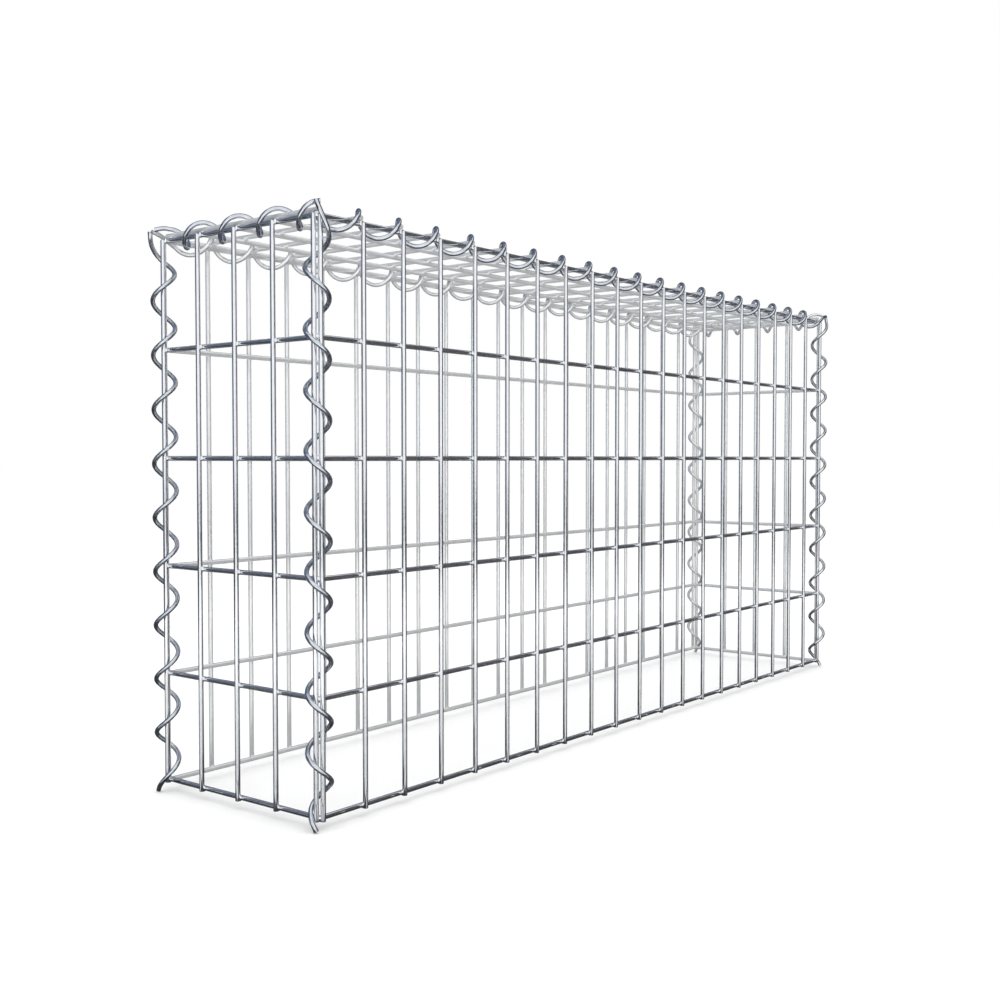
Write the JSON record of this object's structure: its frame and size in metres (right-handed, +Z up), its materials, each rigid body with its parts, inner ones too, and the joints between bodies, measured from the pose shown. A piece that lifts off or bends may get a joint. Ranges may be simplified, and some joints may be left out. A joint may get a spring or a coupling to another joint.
{
  "type": "gabion basket",
  "caption": "Open-bottomed welded wire gabion basket: mesh sides, ends and lid laced along their edges by closing spirals, to be filled with stone.",
  "frame": {"origin": "middle of the footprint, on the level of the corner spirals' cut lower ends", "axes": "+Z up, +X along the basket, +Y from the front panel to the back panel"},
  "size_m": [1.0298, 0.2294, 0.5236],
  "materials": {
    "zinc_wire": "galvanised",
    "pale_zinc_wire": "galvanised, lighter",
    "zinc_spiral": "galvanised",
    "pale_zinc_spiral": "galvanised, lighter"
  },
  "bodies": {
    "root": {"front_panel": "zinc_wire", "back_panel": "pale_zinc_wire", "left_end_panel": "zinc_wire", "right_end_panel": "pale_zinc_wire", "lid_panel": "pale_zinc_wire", "front_left_spiral": "zinc_spiral", "front_right_spiral": "zinc_spiral", "back_left_spiral": "zinc_spiral", "back_right_spiral": "pale_zinc_spiral", "front_top_spiral": "zinc_spiral", "back_top_spiral": "pale_zinc_spiral", "left_top_spiral": "zinc_spiral", "right_top_spiral": "pale_zinc_spiral"}
  },
  "joints": []
}
